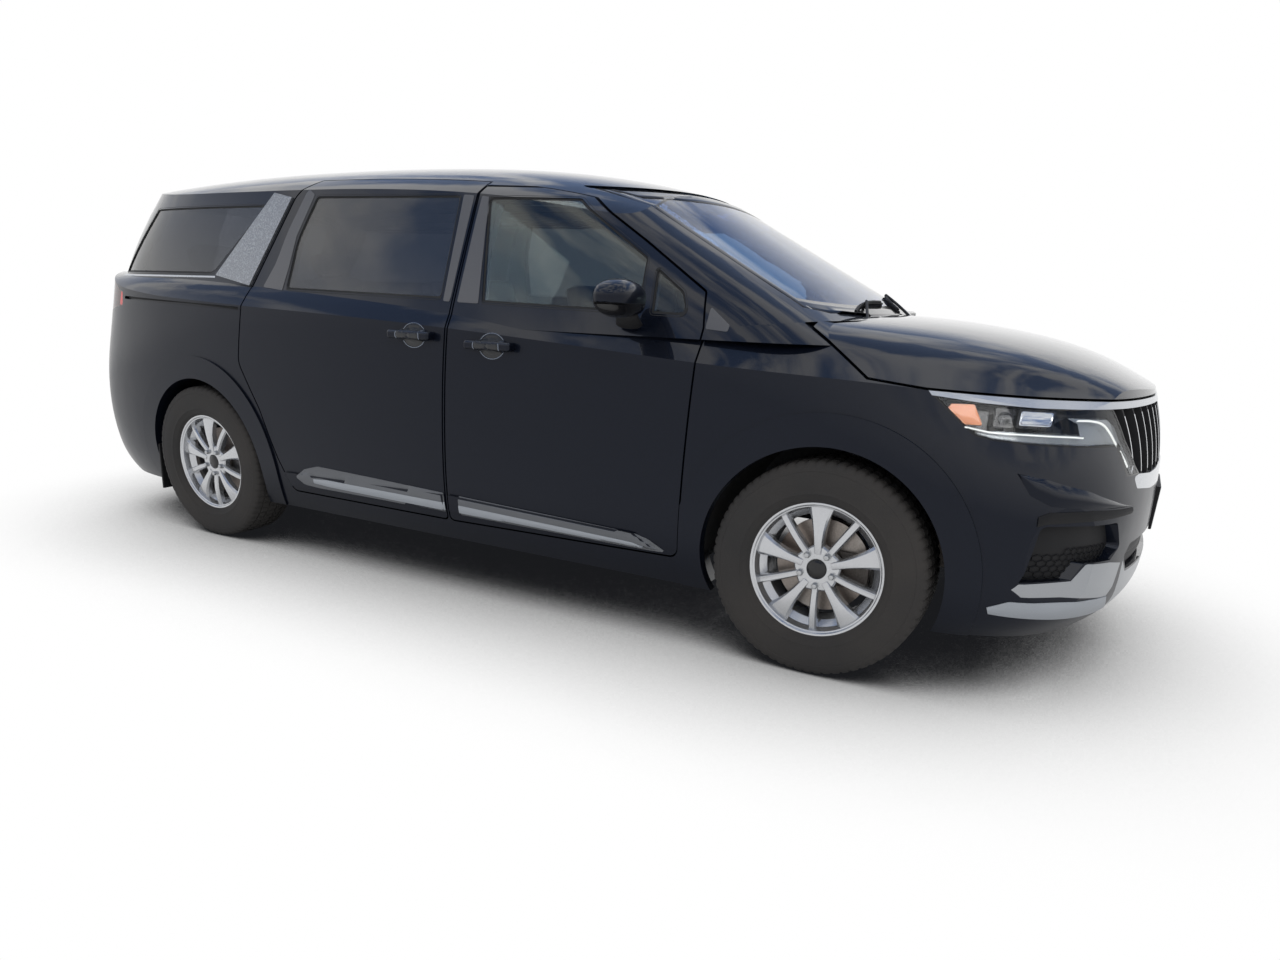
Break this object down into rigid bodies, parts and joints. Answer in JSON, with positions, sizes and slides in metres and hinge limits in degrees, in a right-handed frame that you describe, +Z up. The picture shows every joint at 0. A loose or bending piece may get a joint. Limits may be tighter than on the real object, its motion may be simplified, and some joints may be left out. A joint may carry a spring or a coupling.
{
  "type": "minivan",
  "caption": "Seven-seat family minivan with hinged front doors, sliding rear doors, lifting tailgate, raked windscreen and alloy wheels.",
  "frame": {"origin": "on the ground, under the middle of the van's bounding box", "axes": "+X towards the nose, +Y to the driver's left, +Z up"},
  "size_m": [5.196, 2.368, 1.7375],
  "materials": {
    "body_paint": "metallic",
    "black_plastic": "satin",
    "silver_trim": "satin",
    "headlamp": "clear",
    "tail_lamp": "red",
    "clear_glass": "tinted",
    "privacy_glass": "dark tint",
    "floor_paint": "satin",
    "steel": "rough",
    "iron": "machined",
    "tank": "matt",
    "seat": "woven",
    "trim_soft": "grained",
    "tyre": "matt",
    "alloy": "painted silver"
  },
  "bodies": {
    "body": {"body_sides": "body_paint", "roof_panel": "body_paint", "front_fenders": "body_paint", "front_bumper": "body_paint", "rear_bumper": "body_paint", "sliding_doors": "body_paint", "lower_intake": "black_plastic", "grille": "black_plastic", "cowl_panel": "black_plastic", "wheel_liners": "black_plastic", "front_plate_holder": "black_plastic", "bumper_blades": "silver_trim", "pillar_fins": "silver_trim", "brow_strip": "silver_trim", "grille_smile": "silver_trim", "headlamps": "headlamp", "headlamp_lenses": "headlamp", "light_guides": "headlamp", "tail_lamps": "tail_lamp", "windscreen": "clear_glass", "side_windows": "privacy_glass", "floor_pan": "floor_paint", "front_frame": "floor_paint", "front_suspension": "steel", "rear_suspension": "steel", "muffler": "steel", "exhaust_pipe": "steel", "engine_block": "iron", "fuel_tank": "tank", "seats": "seat", "dashboard": "trim_soft"},
    "front_door_right": {"front_door_right": "body_paint", "front_door_windows_right": "clear_glass", "mirror_right": "black_plastic"},
    "front_door_left": {"front_door_left": "body_paint", "front_door_windows_left": "clear_glass", "mirror_left": "black_plastic"},
    "bonnet": {"bonnet": "body_paint"},
    "tailgate": {"tailgate": "body_paint", "tailgate_window": "privacy_glass", "tailgate_lamps": "tail_lamp", "rear_plate_holder": "black_plastic"},
    "steering_wheel": {"steering_wheel": "trim_soft"},
    "knuckle_right": {"knuckle_right": "steel"},
    "knuckle_left": {"knuckle_left": "steel"},
    "wheel_front_right": {"tyre_front_right": "tyre", "rim_front_right": "alloy", "brake_disc_front_right": "iron"},
    "wheel_front_left": {"tyre_front_left": "tyre", "rim_front_left": "alloy", "brake_disc_front_left": "iron"},
    "wheel_rear_right": {"tyre_rear_right": "tyre", "rim_rear_right": "alloy", "brake_disc_rear_right": "iron"},
    "wheel_rear_left": {"tyre_rear_left": "tyre", "rim_rear_left": "alloy", "brake_disc_rear_left": "iron"}
  },
  "joints": [
    {"name": "steer_left", "type": "hinge", "parent": "body", "child": "knuckle_left", "pos_m": [1.643, 0.81, 0.3686], "axis": [0, 0, 1], "range_deg": [-34, 34]},
    {"name": "steer_right", "type": "hinge", "parent": "body", "child": "knuckle_right", "pos_m": [1.643, -0.81, 0.3686], "axis": [0, 0, 1], "range_deg": [-34, 34]},
    {"name": "steering_wheel_turn", "type": "hinge", "parent": "body", "child": "steering_wheel", "pos_m": [0.60785, 0.36907, 0.9744], "axis": [-0.9063, 0, 0.4226], "range_deg": [-480, 480]},
    {"name": "front_door_right_swing", "type": "hinge", "parent": "body", "child": "front_door_right", "pos_m": [1.14, -0.985, 0.7], "axis": [0, 0, 1], "range_deg": [0, 65]},
    {"name": "front_door_left_swing", "type": "hinge", "parent": "body", "child": "front_door_left", "pos_m": [1.14, 0.985, 0.7], "axis": [0, 0, -1], "range_deg": [0, 65]},
    {"name": "bonnet_lift", "type": "hinge", "parent": "body", "child": "bonnet", "pos_m": [1.48, 0, 1.2], "axis": [0, -1, 0], "range_deg": [0, 50]},
    {"name": "tailgate_lift", "type": "hinge", "parent": "body", "child": "tailgate", "pos_m": [-2.077, 0, 1.688], "axis": [0, 1, 0], "range_deg": [0, 85]},
    {"name": "spin_front_right", "type": "hinge", "parent": "knuckle_right", "child": "wheel_front_right", "pos_m": [1.643, -0.87, 0.3686], "axis": [0, 1, 0], "continuous": true},
    {"name": "spin_front_left", "type": "hinge", "parent": "knuckle_left", "child": "wheel_front_left", "pos_m": [1.643, 0.87, 0.3686], "axis": [0, 1, 0], "continuous": true},
    {"name": "spin_rear_right", "type": "hinge", "parent": "body", "child": "wheel_rear_right", "pos_m": [-1.447, -0.87, 0.3686], "axis": [0, 1, 0], "continuous": true},
    {"name": "spin_rear_left", "type": "hinge", "parent": "body", "child": "wheel_rear_left", "pos_m": [-1.447, 0.87, 0.3686], "axis": [0, 1, 0], "continuous": true}
  ],
  "couplings": [
    {"joint": "steer_right", "follows": "steer_left", "ratio": 1},
    {"joint": "steering_wheel_turn", "follows": "steer_left", "ratio": 14}
  ]
}
